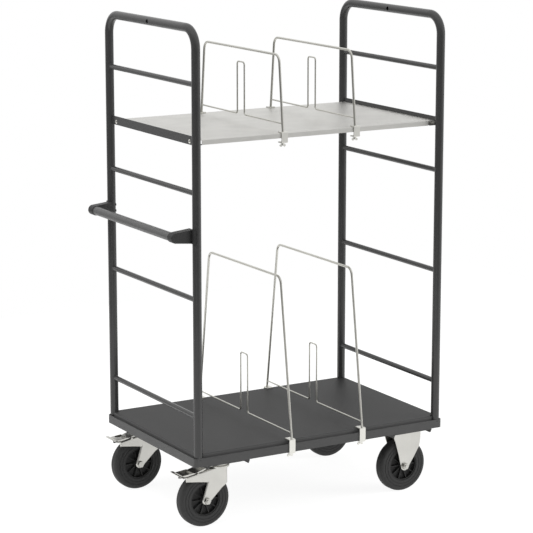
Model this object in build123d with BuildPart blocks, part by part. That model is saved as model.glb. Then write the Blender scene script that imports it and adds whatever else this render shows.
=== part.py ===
# Cardboard box trolley: a steel base on four casters, two hoop-shaped end frames, a sheet-metal
# shelf, a push handle and four sliding wire dividers. Millimetres, +Z up, floor at Z = 0.
# +X runs away from the push handle, the front long side faces -Y.
from build123d import *
import os
from math import acos, atan2, cos, hypot, sin

os.makedirs("parts", exist_ok=True)

# Shared clearances and the overrun of every through cut
run_gap = 0.3
turn_fit = 0.05
overrun = 5.0

# Overall sizes: the base's outline, the wheels, the casters' height over them and the axis of
# the top bars
base_l = 844.0
base_w = 556.0
wheel_d = 160.0
wheel_headroom = 35.0
hoop_top_z = 1434.0
caster_h = wheel_d + wheel_headroom

# Base: perimeter of mitred steel section with an inner ledge for the deck, on two cross members
cross_t = 3.0
base_h = 25.0
base_flange = 25.0
base_t = 3.0
base_corner_r = 10.0
base_ledge_drop = 5.0
base_bottom = caster_h + cross_t
base_top = base_bottom + base_h
ledge_top = base_top - base_ledge_drop
ledge_bottom = ledge_top - base_t

# Deck board
deck_t = 15.0
deck_groove = 6.5
deck_edge_r = 1.5
notch_gap = 1.5
deck_top = ledge_top + deck_t
deck_l = base_l - 2 * (base_t + deck_groove)
deck_w = base_w - 2 * (base_t + deck_groove)

# End frames: round steel tube hoops with welded rungs, two up from the deck and two down from
# the top bar
post_inset_x = 17.0
post_inset_y = 13.0
post_d = 25.0
post_wall = 1.5
hoop_bend_r = 55.0
hoop_hole_d = 12.0
rung_d = 15.0
rung_wall = 1.2
rung_rises = (107.0, 445.0)
rung_drops = (455.0, 153.0)
post_pitch_x = base_l - 2 * post_inset_x
post_pitch_y = base_w - 2 * post_inset_y
post_r = post_d / 2
rung_r = rung_d / 2
rung_heights = [deck_top + rise for rise in rung_rises] + [hoop_top_z - drop for drop in rung_drops]

# Casters, from the floor up to the cross members
caster_inset_y = 69.0
plate_t = 3.5
plate_l = 115.0
plate_w = 100.0
plate_corner_r = 8.0
plate_bolt_l = 90.0
plate_bolt_w = 76.0
bolt_r = 4.0
bolt_af = 13.0
bolt_head_h = 5.3
bolt_nut_h = 6.5
wheel_r = wheel_d / 2
axle_z = wheel_r
caster_y = base_w / 2 - caster_inset_y
plate_bottom = caster_h - plate_t

# Wheels: solid tyre on a ribbed plastic hub
tyre_w = 36.0
tyre_t = 32.5
tyre_shoulder_r = 11.0
tyre_groove_drops = (24.0, 15.0)
tyre_groove_w = 2.5
tyre_groove_depth = 1.0
hub_rim_t = 4.0
hub_rim_w = 32.0
hub_web_t = 12.0
hub_boss_r = 14.0
hub_rib_t = 3.0
hub_rib_w = 26.0
hub_rib_count = 10
axle_r = 5.0
axle_af = 17.0
axle_head_h = 6.4
axle_nut_h = 8.0
axle_tail = 3.0
tyre_bore_r = wheel_r - tyre_t
hub_r = tyre_bore_r - turn_fit

# Caster forks, pressed from sheet: a turned edge on the swivel ones, flared legs on the fixed
fork_w = 52.0
fork_t = 3.0
fork_tip_r = 13.5
fork_nose_share = 0.225
fork_roll_r = 6.0
fork_lip = 3.5
fork_hub_clear_r = 32.0
fork_wheel_gap = 3.0
crown_rear_share = 0.03
swivel_trail_share = 0.6375
swivel_fork_shares = (
    (-0.856, 0.870), (-0.831, 0.685), (0.031, 0.576),
    (0.806, 0.457), (0.930, 0.520), (0.930, 1.0), (0.031, 1.0),
)
fixed_fork_shares = (
    (-0.5, 1.0), (-0.5, 0.816), (-0.281, 0.314),
    (0.407, 0.251), (0.606, 0.511), (0.652, 0.700), (0.664, 1.0),
)
leg_crease_shares = (-0.2, 0.25)
leg_flare_share = 0.125

# Swivel head: kingpin and two bearing rings
kingpin_r = 6.0
kingpin_af = 19.0
kingpin_nut_h = 9.0
upper_ring_r = 31.5
upper_ring_h = 13.2
lower_ring_r = 33.0
lower_ring_h = 6.0
ring_chamfer = 2.0
ring_bottom = plate_bottom - upper_ring_h
crown_top = ring_bottom - run_gap - lower_ring_h

# Wheel brake pedal, hinged between the fork arms
pedal_pin_back = 28.0
pedal_pin_rise = 3.0
pedal_pin_r = 2.5
pedal_pin_head = 1.5
pedal_boss_r = 5.0
pedal_reach = 51.0
pedal_lip_w = 80.0
pedal_lip_l = 9.0
pedal_side_t = 2.5
pedal_pocket_shares = (
    ((-0.72, 0.0), (-0.28, 0.02), (-0.28, 0.2), (-0.72, 0.2)),
    ((0.12, 0.117), (0.49, 0.224), (0.49, 0.4), (0.12, 0.4)),
)
pedal_outline_shares = (
    (-1.0, 0.0), (-0.96, 0.03), (-0.78, 0.045), (-0.24, 0.10), (-0.18, 0.07), (0.53, 0.275),
    (0.53, 0.205), (0.16, 0.04), (0.0, -0.098), (-0.16, -0.03), (-0.24, -0.176), (-0.43, -0.176),
    (-0.52, -0.05), (-0.96, -0.05), (-1.0, -0.03),
)

# Cross members: inverted channels under the base
cross_w = 134.0
cross_h = 13.0
cross_end_inset = 1.0
cross_lip_rake = 6.0
cross_left_inset = 111.5
cross_right_inset = 103.0
cross_left_offset = base_l / 2 - cross_left_inset
cross_right_offset = base_l / 2 - cross_right_inset

# Push handle on the left end frame
handle_standoff = 64.0
handle_z = 860.0
handle_d = 25.0
handle_wall = 1.5
arm_nose_r = 14.5
arm_w = 28.0
arm_inset = 1.0
arm_root_h = 40.0
arm_root_lap = 4.0
arm_socket = 20.0
arm_neck_l = 18.0
arm_neck = 2.5
arm_saddle_t = 3.0
arm_saddle_back = 9.0
arm_edge_r = 2.0
arm_screw_r = 2.5
arm_screw_head_r = 4.5
arm_screw_head_h = 2.8
arm_screw_bite = 16.0
arm_screw_pitch = 18.0
arm_screw_shift = 6.5
handle_r = handle_d / 2

# The frame stands off centre so that the whole trolley is centred on X = 0
mid_x = (post_pitch_x / 2 + handle_standoff + arm_nose_r - base_l / 2) / 2
left_x = mid_x - post_pitch_x / 2
right_x = mid_x + post_pitch_x / 2
post_y = post_pitch_y / 2
handle_x = left_x - handle_standoff

# Shelf and the angle rails that carry it
rail_drop = 297.0
rail_h = 25.0
rail_flange = 25.0
rail_t = 2.5
shelf_t = 1.25
shelf_side_gap = 5.5
shelf_lip = 14.0
shelf_step = 11.0
shelf_bend_r = 2.0
shelf_screw_r = 2.5
shelf_screw_head_r = 6.0
shelf_screw_head_h = 3.0
shelf_screw_tail = 5.0
shelf_screw_inset = 21.0
shelf_screw_drop = 4.5
shelf_w = post_pitch_y - post_d - 2 * shelf_side_gap
rail_top_z = hoop_top_z - rail_drop
rail_seat_z = rail_top_z - rail_h + rail_t
shelf_top = rail_seat_z + shelf_step
shelf_l = post_pitch_x - 2 * rail_t - 2 * run_gap
shelf_lip_l = post_pitch_x - 2 * rail_flange - 2 * rail_t - 2 * run_gap
shelf_screw_y = shelf_w / 2 - shelf_screw_inset
shelf_screw_z = shelf_top - shelf_screw_drop

# Wire dividers, clamped to the shelf and to the base
wire_d = 7.0
finger_d = 4.5
finger_bend_r = 8.0
finger_half_w = 20.5
upper_dividers_x = (-113.0, 128.0)
upper_foot_inset = 8.0
upper_corner_inset = 29.5
upper_divider_rise = 217.5
upper_bend_r = 24.0
upper_finger_low_rise = 25.5
upper_finger_top_rise = 177.5
lower_dividers_x = (-104.0, 137.0)
lower_foot_inset = 1.0
lower_corner_inset = 66.5
lower_divider_rise = 471.0
lower_bend_r = 23.0
lower_finger_low_rise = 21.0
lower_finger_top_rise = 200.0

# Divider clamps with wing screws
clamp_w = 20.0
clamp_t = 3.0
clamp_bend_r = 2.0
upper_clamp_depth = 20.5
upper_clamp_below = 25.5
lower_clamp_depth = 26.5
lower_clamp_below = 1.4
upper_screw_inset = 9.0
lower_screw_inset = 11.0
wing_screw_r = 3.0
wing_gap = 1.5
wing_hub_r = 4.5
wing_hub_h = 6.0
wing_h = 10.0
wing_span = 19.0
wing_lobe_r = 3.6
wing_t = 2.5


def level(z, x=0, y=0):
    """A horizontal sketch plane at height z about x, y."""
    return Plane(origin=(x, y, z), x_dir=(1, 0, 0), z_dir=(0, 0, 1))


def front(y, x=0, z=0):
    """An upright sketch plane that faces -Y: local x is X and local y is Z."""
    return Plane(origin=(x, y, z), x_dir=(1, 0, 0), z_dir=(0, -1, 0))


def end(x, y=0, z=0):
    """An upright sketch plane that faces +X: local x is Y and local y is Z."""
    return Plane(origin=(x, y, z), x_dir=(0, 1, 0), z_dir=(1, 0, 0))


def hexagon(across_flats):
    """A hexagon in the active sketch, given its size across flats."""
    RegularPolygon(radius=across_flats / 2, side_count=6, major_radius=False)


def tangent_spot(spot, radius, turn):
    """Where a line from spot touches a circle about the origin, on the side that turn gives."""
    angle = atan2(spot[1], spot[0]) + turn * acos(radius / hypot(*spot))
    return (radius * cos(angle), radius * sin(angle))


def save(piece, node):
    """Label one finished sub-part and write it as its own file."""
    piece.part.label = node
    export_step(piece.part, f"parts/{node}.step")


# End frame hoops: one bent tube each, drilled through the middle of the top bar and coped
# to the base rim at its feet
arm_screw_spots = [(ys * (post_y - arm_screw_shift), handle_z + zs * arm_screw_pitch / 2)
                   for ys in (-1, 1) for zs in (-1, 1)]
for frame_side, post_x in (("left", left_x), ("right", right_x)):
    with BuildPart() as hoop:
        with BuildLine(end(post_x)) as hoop_line:
            FilletPolyline(
                (-post_y, ledge_top), (-post_y, hoop_top_z), (post_y, hoop_top_z), (post_y, ledge_top),
                radius=hoop_bend_r,
            )
        with BuildSketch(level(ledge_top, post_x, -post_y)):
            Circle(post_r)
            Circle(post_r - post_wall, mode=Mode.SUBTRACT)
        sweep(path=hoop_line.line)
        with BuildSketch(end(post_x)):
            with Locations((0, hoop_top_z)):
                Circle(hoop_hole_d / 2)
            if frame_side == "left":
                with Locations(*arm_screw_spots):
                    Circle(arm_screw_r + turn_fit)
        extrude(amount=post_r + overrun, both=True, mode=Mode.SUBTRACT)
        with BuildSketch(level(ledge_top, mid_x)):
            Rectangle(base_l + overrun, base_w + overrun)
            RectangleRounded(
                base_l - 2 * base_t, base_w - 2 * base_t, base_corner_r - base_t, mode=Mode.SUBTRACT,
            )
        extrude(amount=base_ledge_drop, mode=Mode.SUBTRACT)
    save(hoop, f"{frame_side}_hoop")

    # Rungs: thinner tubes, coped to the round posts
    with BuildPart() as rungs:
        with BuildSketch(front(0, post_x)):
            with Locations(*[(0, z) for z in rung_heights]):
                Circle(rung_r)
                Circle(rung_r - rung_wall, mode=Mode.SUBTRACT)
        extrude(amount=post_y, both=True)
        with BuildSketch(level(ledge_top, post_x)):
            with Locations((0, -post_y), (0, post_y)):
                Circle(post_r)
        extrude(amount=hoop_top_z - ledge_top, mode=Mode.SUBTRACT)
    save(rungs, f"{frame_side}_rungs")

# Shelf rails: steel angle between the posts of each end frame, drilled for the shelf screws
for rail_side, way in (("left", -1), ("right", 1)):
    face_x = mid_x + way * post_pitch_x / 2
    with BuildPart() as shelf_rail:
        with BuildSketch(front(0, face_x, rail_top_z)):
            with BuildLine():
                Polyline(
                    (0, 0), (0, -rail_h), (-way * rail_flange, -rail_h),
                    (-way * rail_flange, rail_t - rail_h), (-way * rail_t, rail_t - rail_h),
                    (-way * rail_t, 0), (0, 0),
                )
            make_face()
        extrude(amount=post_y - post_r, both=True)
        with BuildSketch(end(face_x)):
            with Locations((-shelf_screw_y, shelf_screw_z), (shelf_screw_y, shelf_screw_z)):
                Circle(shelf_screw_r + turn_fit)
        extrude(amount=rail_t + overrun, both=True, mode=Mode.SUBTRACT)
    save(shelf_rail, f"{rail_side}_shelf_rail")

# Shelf panel: folded sheet, with long lips at front and back that stop short of the rails
with BuildPart() as shelf_panel:
    with BuildSketch(end(mid_x, 0, shelf_top)) as long_fold:
        Rectangle(shelf_w, shelf_lip, align=(Align.CENTER, Align.MAX))
        fillet(long_fold.vertices().group_by(Axis.Y)[-1], radius=shelf_bend_r)
        with Locations((0, -shelf_t)):
            Rectangle(shelf_w - 2 * shelf_t, shelf_lip, align=(Align.CENTER, Align.MAX), mode=Mode.SUBTRACT)
    extrude(amount=shelf_lip_l / 2, both=True)
    with BuildSketch(front(0, mid_x, shelf_top)) as end_fold:
        Rectangle(shelf_l, shelf_step, align=(Align.CENTER, Align.MAX))
        fillet(end_fold.vertices().group_by(Axis.Y)[-1], radius=shelf_bend_r)
        with Locations((0, -shelf_t)):
            Rectangle(shelf_l - 2 * shelf_t, shelf_step, align=(Align.CENTER, Align.MAX), mode=Mode.SUBTRACT)
    extrude(amount=shelf_w / 2 - shelf_bend_r, both=True)
    with BuildSketch(end(mid_x)):
        with Locations((-shelf_screw_y, shelf_screw_z), (shelf_screw_y, shelf_screw_z)):
            Circle(shelf_screw_r + turn_fit)
    extrude(amount=shelf_l, both=True, mode=Mode.SUBTRACT)
save(shelf_panel, "shelf_panel")

# Shelf screws: domed heads on the outer faces of the rails
with BuildPart() as shelf_screws:
    for way in (-1, 1):
        face_x = mid_x + way * post_pitch_x / 2
        for screw_y in (-shelf_screw_y, shelf_screw_y):
            with BuildSketch(front(screw_y, face_x, shelf_screw_z)):
                with BuildLine():
                    Line((0, shelf_screw_head_r), (0, shelf_screw_r))
                    Line((0, shelf_screw_r), (-way * shelf_screw_tail, shelf_screw_r))
                    Line((-way * shelf_screw_tail, shelf_screw_r), (-way * shelf_screw_tail, 0))
                    Line((-way * shelf_screw_tail, 0), (way * shelf_screw_head_h, 0))
                    ThreePointArc(
                        (way * shelf_screw_head_h, 0),
                        (way * shelf_screw_head_h * sin(1), shelf_screw_head_r / 2),
                        (0, shelf_screw_head_r),
                    )
                make_face()
            revolve(axis=Axis((face_x, screw_y, shelf_screw_z), (1, 0, 0)))
save(shelf_screws, "shelf_screws")

# Base rim: a closed ring of the section, cut into two side rails and two end rails on the mitres
with BuildPart() as rim:
    with BuildSketch(level(base_bottom, mid_x)):
        RectangleRounded(base_l, base_w, base_corner_r)
        RectangleRounded(
            base_l - 2 * base_t, base_w - 2 * base_t, base_corner_r - base_t, mode=Mode.SUBTRACT,
        )
    extrude(amount=base_h)
    with BuildSketch(level(ledge_bottom, mid_x)):
        RectangleRounded(base_l - 2 * base_t, base_w - 2 * base_t, base_corner_r - base_t)
        Rectangle(base_l - 2 * base_flange, base_w - 2 * base_flange, mode=Mode.SUBTRACT)
    extrude(amount=base_t)

for rail_group, keep in (("side", Mode.INTERSECT), ("end", Mode.SUBTRACT)):
    with BuildPart() as base_rails:
        add(rim.part)
        with BuildSketch(level(base_bottom, mid_x)):
            Polygon(
                (-base_l / 2, -base_w / 2), (base_l / 2, -base_w / 2), (base_l / 2 - base_w / 2, 0),
                (base_l / 2, base_w / 2), (-base_l / 2, base_w / 2), (-base_l / 2 + base_w / 2, 0),
                align=None,
            )
        extrude(amount=base_h, mode=keep)
    save(base_rails, f"base_{rail_group}_rails")

# Cross members: channels with raked lip ends, drilled for the caster plates
with BuildPart() as cross_members:
    half_len = base_w / 2 - cross_end_inset
    for cross_x in (mid_x - cross_left_offset, mid_x + cross_right_offset):
        with BuildSketch(front(0, cross_x, base_bottom)) as channel:
            Rectangle(cross_w, cross_h, align=(Align.CENTER, Align.MAX))
            fillet(channel.vertices().group_by(Axis.Y)[-1], radius=cross_t)
            with Locations((0, -cross_t)):
                Rectangle(
                    cross_w - 2 * cross_t, cross_h, align=(Align.CENTER, Align.MAX), mode=Mode.SUBTRACT,
                )
        extrude(amount=half_len, both=True)
        with BuildSketch(end(cross_x, 0, base_bottom)):
            for way in (-1, 1):
                Polygon(
                    (way * half_len, -cross_t), (way * (half_len - cross_lip_rake), -cross_h),
                    (way * (half_len + overrun), -cross_h), (way * (half_len + overrun), -cross_t),
                    align=None,
                )
        extrude(amount=cross_w, both=True, mode=Mode.SUBTRACT)
        with BuildSketch(level(base_bottom, cross_x)):
            for way in (-1, 1):
                with Locations((0, way * caster_y)):
                    with GridLocations(plate_bolt_l, plate_bolt_w, 2, 2):
                        Circle(bolt_r + turn_fit)
        extrude(amount=-cross_h, mode=Mode.SUBTRACT)
save(cross_members, "cross_members")

# Deck board: stands on the ledge of the rim, rounded out at the posts
with BuildPart() as deck_board:
    with BuildSketch(level(ledge_top, mid_x)):
        Rectangle(deck_l, deck_w)
        with GridLocations(post_pitch_x, post_pitch_y, 2, 2):
            Circle(post_r + notch_gap, mode=Mode.SUBTRACT)
    extrude(amount=deck_t)
    fillet(deck_board.faces().sort_by(Axis.Z)[-1].edges(), radius=deck_edge_r)
save(deck_board, "deck_board")

# Push handle: a tube held in two moulded arms that are screwed to the posts from behind
arm_mid_y = post_y - arm_inset - arm_w / 2
arm_outer_y = arm_mid_y + arm_w / 2
arm_inner_y = arm_mid_y - arm_w / 2
arm_root_x = left_x - post_r + arm_root_lap
with BuildPart() as handle_tube:
    with BuildSketch(front(0, handle_x, handle_z)):
        Circle(handle_r - turn_fit)
        Circle(handle_r - handle_wall, mode=Mode.SUBTRACT)
    extrude(amount=arm_inner_y + arm_socket, both=True)
save(handle_tube, "handle_tube")

with BuildPart() as handle_arms:
    arm_l = arm_root_x - handle_x
    arm_top = (arm_l, arm_root_h / 2)
    arm_low = (arm_l, -arm_root_h / 2)
    nose_top = tangent_spot(arm_top, arm_nose_r, 1)
    nose_low = tangent_spot(arm_low, arm_nose_r, -1)
    with BuildSketch(front(arm_mid_y, handle_x, handle_z)):
        with BuildLine():
            ThreePointArc(nose_low, (-arm_nose_r, 0), nose_top)
            Polyline(nose_top, arm_top, arm_low, nose_low)
        make_face()
    extrude(amount=arm_w / 2, both=True)
    arm_rims = [e for f in handle_arms.faces().filter_by(Axis.Y) for e in f.edges()
                if e.center().X < handle_x + arm_l - arm_edge_r]
    fillet(arm_rims, radius=arm_edge_r)
    with BuildSketch(level(handle_z)):
        Polygon(
            (left_x - post_r - arm_neck_l, arm_outer_y), (left_x - post_r, arm_outer_y - arm_neck),
            (arm_root_x + overrun, arm_outer_y - arm_neck), (arm_root_x + overrun, arm_outer_y + overrun),
            (left_x - post_r - arm_neck_l, arm_outer_y + overrun), align=None,
        )
    extrude(amount=arm_root_h, both=True, mode=Mode.SUBTRACT)
    with BuildSketch(level(handle_z, left_x, post_y)):
        Circle(post_r + arm_saddle_t)
        with Locations((-arm_saddle_back, 0)):
            Rectangle(
                post_d, post_d + 2 * arm_saddle_t, align=(Align.MAX, Align.CENTER), mode=Mode.INTERSECT,
            )
    extrude(amount=arm_root_h / 2, both=True)
    with BuildSketch(level(handle_z, left_x, post_y)):
        Circle(post_r)
    extrude(amount=arm_root_h, both=True, mode=Mode.SUBTRACT)
    with BuildSketch(front(arm_inner_y, handle_x, handle_z)):
        Circle(handle_r)
    extrude(amount=-arm_socket, mode=Mode.SUBTRACT)
    with BuildSketch(end(left_x)):
        with Locations(*arm_screw_spots):
            Circle(arm_screw_r + turn_fit)
    extrude(amount=-(post_r + arm_screw_bite), mode=Mode.SUBTRACT)
    mirror(about=Plane.XZ)
save(handle_arms, "handle_arms")

with BuildPart() as handle_screws:
    with BuildSketch(end(left_x + post_r)):
        with Locations(*arm_screw_spots):
            Circle(arm_screw_r)
    extrude(amount=-(post_d + arm_screw_bite))
    with BuildSketch(end(left_x + post_r)):
        with Locations(*arm_screw_spots):
            Circle(arm_screw_head_r)
    extrude(amount=arm_screw_head_h)
save(handle_screws, "handle_screws")


# Caster forks
def fork_side(shares, rise, centre, inset):
    """A fork's side outline, inset all round; the third point is the last one before its tip."""
    points = [(u * wheel_r, v * rise) for u, v in shares]
    start = tangent_spot(points[2], fork_tip_r, 1)
    stop = tangent_spot(points[3], fork_tip_r, -1)
    with BuildSketch(front(centre[1], centre[0], centre[2])) as side:
        with BuildLine():
            Polyline(stop, *points[3:], *points[:3], start)
            ThreePointArc(start, (0, -fork_tip_r), stop)
        make_face()
        if inset:
            offset(amount=-inset, mode=Mode.REPLACE, kind=Kind.INTERSECTION)
    return side.sketch


def fork_block(shares, rise, half_w, inset, centre, nose_r):
    """A solid block of a fork's side outline. Its edges are rolled, apart from those at its roof,
    and its nose is rounded."""
    with BuildPart() as block:
        extrude(fork_side(shares, rise, centre, inset), amount=half_w, both=True)
        roof = centre[2] + rise - inset
        nose_x = block.part.bounding_box().max.X - nose_r / 2
        rims = [e for f in block.faces().filter_by(Axis.Y) for e in f.edges()
                if e.center().Z < roof and e.center().X < nose_x]
        fillet(rims, radius=fork_roll_r - inset)
        fillet(block.edges().filter_by(Axis.Z).group_by(Axis.X)[-1], radius=nose_r - inset)
    return block.part


swivel_rise = crown_top - axle_z
fixed_rise = plate_bottom - axle_z
fork_nose_r = fork_nose_share * wheel_r
swivel_trail = swivel_trail_share * wheel_r
fork_half = fork_w / 2
fork_inner = fork_half - fork_t
crown_bottom = crown_top - fork_t
crown_rear = crown_rear_share * wheel_r
leg_creases = [u * wheel_r for u in leg_crease_shares]
leg_outer = [
    (-plate_l / 2, fork_half + leg_flare_share * (plate_l / 2 + leg_creases[0])),
    (leg_creases[0], fork_half), (leg_creases[1], fork_half),
    (plate_l / 2, fork_half + leg_flare_share * (plate_l / 2 - leg_creases[1])),
]
leg_inner = [(x, y - fork_t) for x, y in reversed(leg_outer)]
casters = (
    ("front_left", mid_x - cross_left_offset, -1), ("rear_left", mid_x - cross_left_offset, 1),
    ("front_right", mid_x + cross_right_offset, -1), ("rear_right", mid_x + cross_right_offset, 1),
)
for place, plate_x, row in casters:
    swivels = place.endswith("left")
    wheel_x = plate_x - swivel_trail if swivels else plate_x
    wheel_y = row * caster_y
    pin_x = wheel_x - pedal_pin_back
    pin_z = wheel_d + pedal_pin_rise
    hub_spot = (wheel_x, wheel_y, axle_z)

    if swivels:
        # Top plate of a swivel caster, with its bearing ring, kingpin and kingpin nut
        with BuildPart() as top_plate:
            with BuildSketch(level(plate_bottom, plate_x, wheel_y)):
                RectangleRounded(plate_l, plate_w, plate_corner_r)
                with GridLocations(plate_bolt_l, plate_bolt_w, 2, 2):
                    Circle(bolt_r + turn_fit, mode=Mode.SUBTRACT)
            extrude(amount=plate_t)
            with BuildSketch(front(wheel_y, plate_x)):
                Polygon(
                    (0, plate_bottom), (upper_ring_r - ring_chamfer, plate_bottom),
                    (upper_ring_r, plate_bottom - ring_chamfer), (upper_ring_r, ring_bottom + ring_chamfer),
                    (upper_ring_r - ring_chamfer, ring_bottom), (kingpin_r, ring_bottom),
                    (kingpin_r, crown_bottom - run_gap), (0, crown_bottom - run_gap), align=None,
                )
            revolve(axis=Axis((plate_x, wheel_y, 0), (0, 0, 1)))
            with BuildSketch(level(crown_bottom - run_gap, plate_x, wheel_y)):
                hexagon(kingpin_af)
            extrude(amount=-kingpin_nut_h)
        save(top_plate, f"{place}_top_plate")

        # Swivel fork: a pressed shell with rolled edges and a narrow lip turned in along its whole
        # outline, opened for the wheel and for the hub, with the lower bearing ring on its crown
        # and two arms for the brake pedal
        outer = fork_block(swivel_fork_shares, swivel_rise, fork_half, 0, hub_spot, fork_nose_r)
        inner = fork_block(swivel_fork_shares, swivel_rise, fork_inner, fork_t, hub_spot, fork_nose_r)
        with BuildPart() as fork:
            add(outer)
            add(inner, mode=Mode.SUBTRACT)
            with BuildSketch(front(wheel_y, wheel_x, axle_z)):
                Circle(wheel_r + fork_wheel_gap)
            extrude(amount=fork_inner - fork_lip, both=True, mode=Mode.SUBTRACT)
            with BuildSketch(front(wheel_y, wheel_x, axle_z)):
                Circle(fork_hub_clear_r)
                with Locations((crown_rear, -wheel_r)):
                    Rectangle(2 * wheel_r, 2 * wheel_d, align=(Align.MAX, Align.MIN))
            extrude(amount=fork_inner, both=True, mode=Mode.SUBTRACT)
            with BuildSketch(level(crown_top, plate_x, wheel_y)):
                Circle(lower_ring_r)
            extrude(amount=lower_ring_h)
            chamfer(fork.faces().sort_by(Axis.Z)[-1].edges(), length=ring_chamfer)
            with BuildSketch(level(crown_bottom, plate_x, wheel_y)):
                Circle(kingpin_r + turn_fit)
            extrude(amount=fork_t + lower_ring_h, mode=Mode.SUBTRACT)
            with BuildSketch(front(wheel_y)):
                with Locations((wheel_x, axle_z)):
                    Circle(axle_r + turn_fit)
                with Locations((pin_x, pin_z)):
                    Circle(pedal_pin_r + turn_fit)
            extrude(amount=fork_w, both=True, mode=Mode.SUBTRACT)
        save(fork, f"{place}_fork")

        # Pedal pin, headed at both ends, through the two arms
        with BuildPart() as pedal_pin:
            with BuildSketch(front(wheel_y, pin_x, pin_z)):
                Circle(pedal_pin_r)
            extrude(amount=fork_half + pedal_pin_head, both=True)
            for way in (-1, 1):
                with BuildSketch(front(wheel_y + way * fork_half, pin_x, pin_z)):
                    Circle(pedal_pin_r + pedal_pin_head)
                extrude(amount=-way * pedal_pin_head)
        save(pedal_pin, f"{place}_pedal_pin")

        # Brake pedal: a lever between the arms, pressed with raised sides and a bar between two
        # pockets, with a brake pad below and a wide lip outside
        with BuildPart() as pedal:
            with BuildSketch(front(wheel_y, pin_x, pin_z)):
                Polygon(*[(u * pedal_reach, v * pedal_reach) for u, v in pedal_outline_shares], align=None)
                Circle(pedal_boss_r)
            extrude(amount=fork_inner - run_gap, both=True)
            lip_z = pin_z + pedal_outline_shares[-1][1] * pedal_reach
            with BuildSketch(level(lip_z, pin_x - pedal_reach, wheel_y)):
                RectangleRounded(pedal_lip_l, pedal_lip_w, pedal_lip_l / 3)
            extrude(amount=(pedal_outline_shares[0][1] - pedal_outline_shares[-1][1]) * pedal_reach)
            with BuildSketch(front(wheel_y, pin_x, pin_z)):
                for pocket in pedal_pocket_shares:
                    Polygon(*[(u * pedal_reach, v * pedal_reach) for u, v in pocket], align=None)
            extrude(amount=fork_inner - run_gap - pedal_side_t, both=True, mode=Mode.SUBTRACT)
            with BuildSketch(front(wheel_y, pin_x, pin_z)):
                Circle(pedal_pin_r + turn_fit)
            extrude(amount=fork_w, both=True, mode=Mode.SUBTRACT)
        save(pedal, f"{place}_brake_pedal")
    else:
        # Fixed fork, one piece with its top plate: two pressed legs, creased so that their front
        # and rear edges flare outwards
        with BuildPart() as fork:
            with BuildSketch(level(axle_z - fork_tip_r, wheel_x, wheel_y)):
                for way in (-1, 1):
                    Polygon(*[(x, way * y) for x, y in leg_outer + leg_inner], align=None)
            extrude(amount=fork_tip_r + fixed_rise)
            leg_side = fork_side(fixed_fork_shares, fixed_rise, hub_spot, 0)
            extrude(leg_side, amount=fork_w, both=True, mode=Mode.INTERSECT)
            with BuildSketch(level(plate_bottom, plate_x, wheel_y)):
                RectangleRounded(plate_l, plate_w, plate_corner_r)
                with GridLocations(plate_bolt_l, plate_bolt_w, 2, 2):
                    Circle(bolt_r + turn_fit, mode=Mode.SUBTRACT)
            extrude(amount=plate_t)
            with BuildSketch(front(wheel_y, wheel_x, axle_z)):
                Circle(axle_r + turn_fit)
            extrude(amount=fork_w, both=True, mode=Mode.SUBTRACT)
        save(fork, f"{place}_fork")

    # Axle bolt with its nut towards the outside of the trolley
    with BuildPart() as axle:
        with BuildSketch(front(wheel_y - row * fork_half, wheel_x, axle_z)):
            Circle(axle_r)
        extrude(amount=-row * (fork_w + axle_nut_h + axle_tail))
        with BuildSketch(front(wheel_y + row * fork_half, wheel_x, axle_z)):
            hexagon(axle_af)
        extrude(amount=-row * axle_nut_h)
        with BuildSketch(front(wheel_y - row * fork_half, wheel_x, axle_z)):
            hexagon(axle_af)
        extrude(amount=row * axle_head_h)
    save(axle, f"{place}_axle")

    # Tyre: a solid ring with round shoulders and two shallow grooves in each sidewall
    with BuildPart() as tyre:
        with BuildSketch(level(axle_z, wheel_x, wheel_y)) as tyre_face:
            with Locations((tyre_bore_r, 0)):
                Rectangle(wheel_r - tyre_bore_r, tyre_w, align=(Align.MIN, Align.CENTER))
            fillet(tyre_face.vertices().group_by(Axis.X)[-1], radius=tyre_shoulder_r)
            groove_spots = [(wheel_r - drop, way * tyre_w / 2)
                            for drop in tyre_groove_drops for way in (-1, 1)]
            with Locations(*groove_spots):
                Rectangle(tyre_groove_w, 2 * tyre_groove_depth, mode=Mode.SUBTRACT)
        revolve(axis=Axis(hub_spot, (0, 1, 0)))
    save(tyre, f"{place}_tyre")

    # Hub: rim, web, ribs and a long boss bored for the axle
    with BuildPart() as hub:
        with BuildSketch(level(axle_z, wheel_x, wheel_y)):
            with Locations((hub_r - hub_rim_t, 0)):
                Rectangle(hub_rim_t, hub_rim_w, align=(Align.MIN, Align.CENTER))
            with Locations((axle_r + turn_fit, 0)):
                Rectangle(hub_r - hub_rim_t / 2 - axle_r, hub_web_t, align=(Align.MIN, Align.CENTER))
                Rectangle(
                    hub_boss_r - axle_r - turn_fit, 2 * (fork_inner - run_gap),
                    align=(Align.MIN, Align.CENTER),
                )
        revolve(axis=Axis(hub_spot, (0, 1, 0)))
        with BuildSketch(front(wheel_y, wheel_x, axle_z)):
            with PolarLocations(0, hub_rib_count):
                with Locations((hub_boss_r - hub_rim_t / 2, 0)):
                    Rectangle(hub_r - hub_boss_r, hub_rib_t, align=(Align.MIN, Align.CENTER))
        extrude(amount=hub_rib_w / 2, both=True)
    save(hub, f"{place}_hub")

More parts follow.
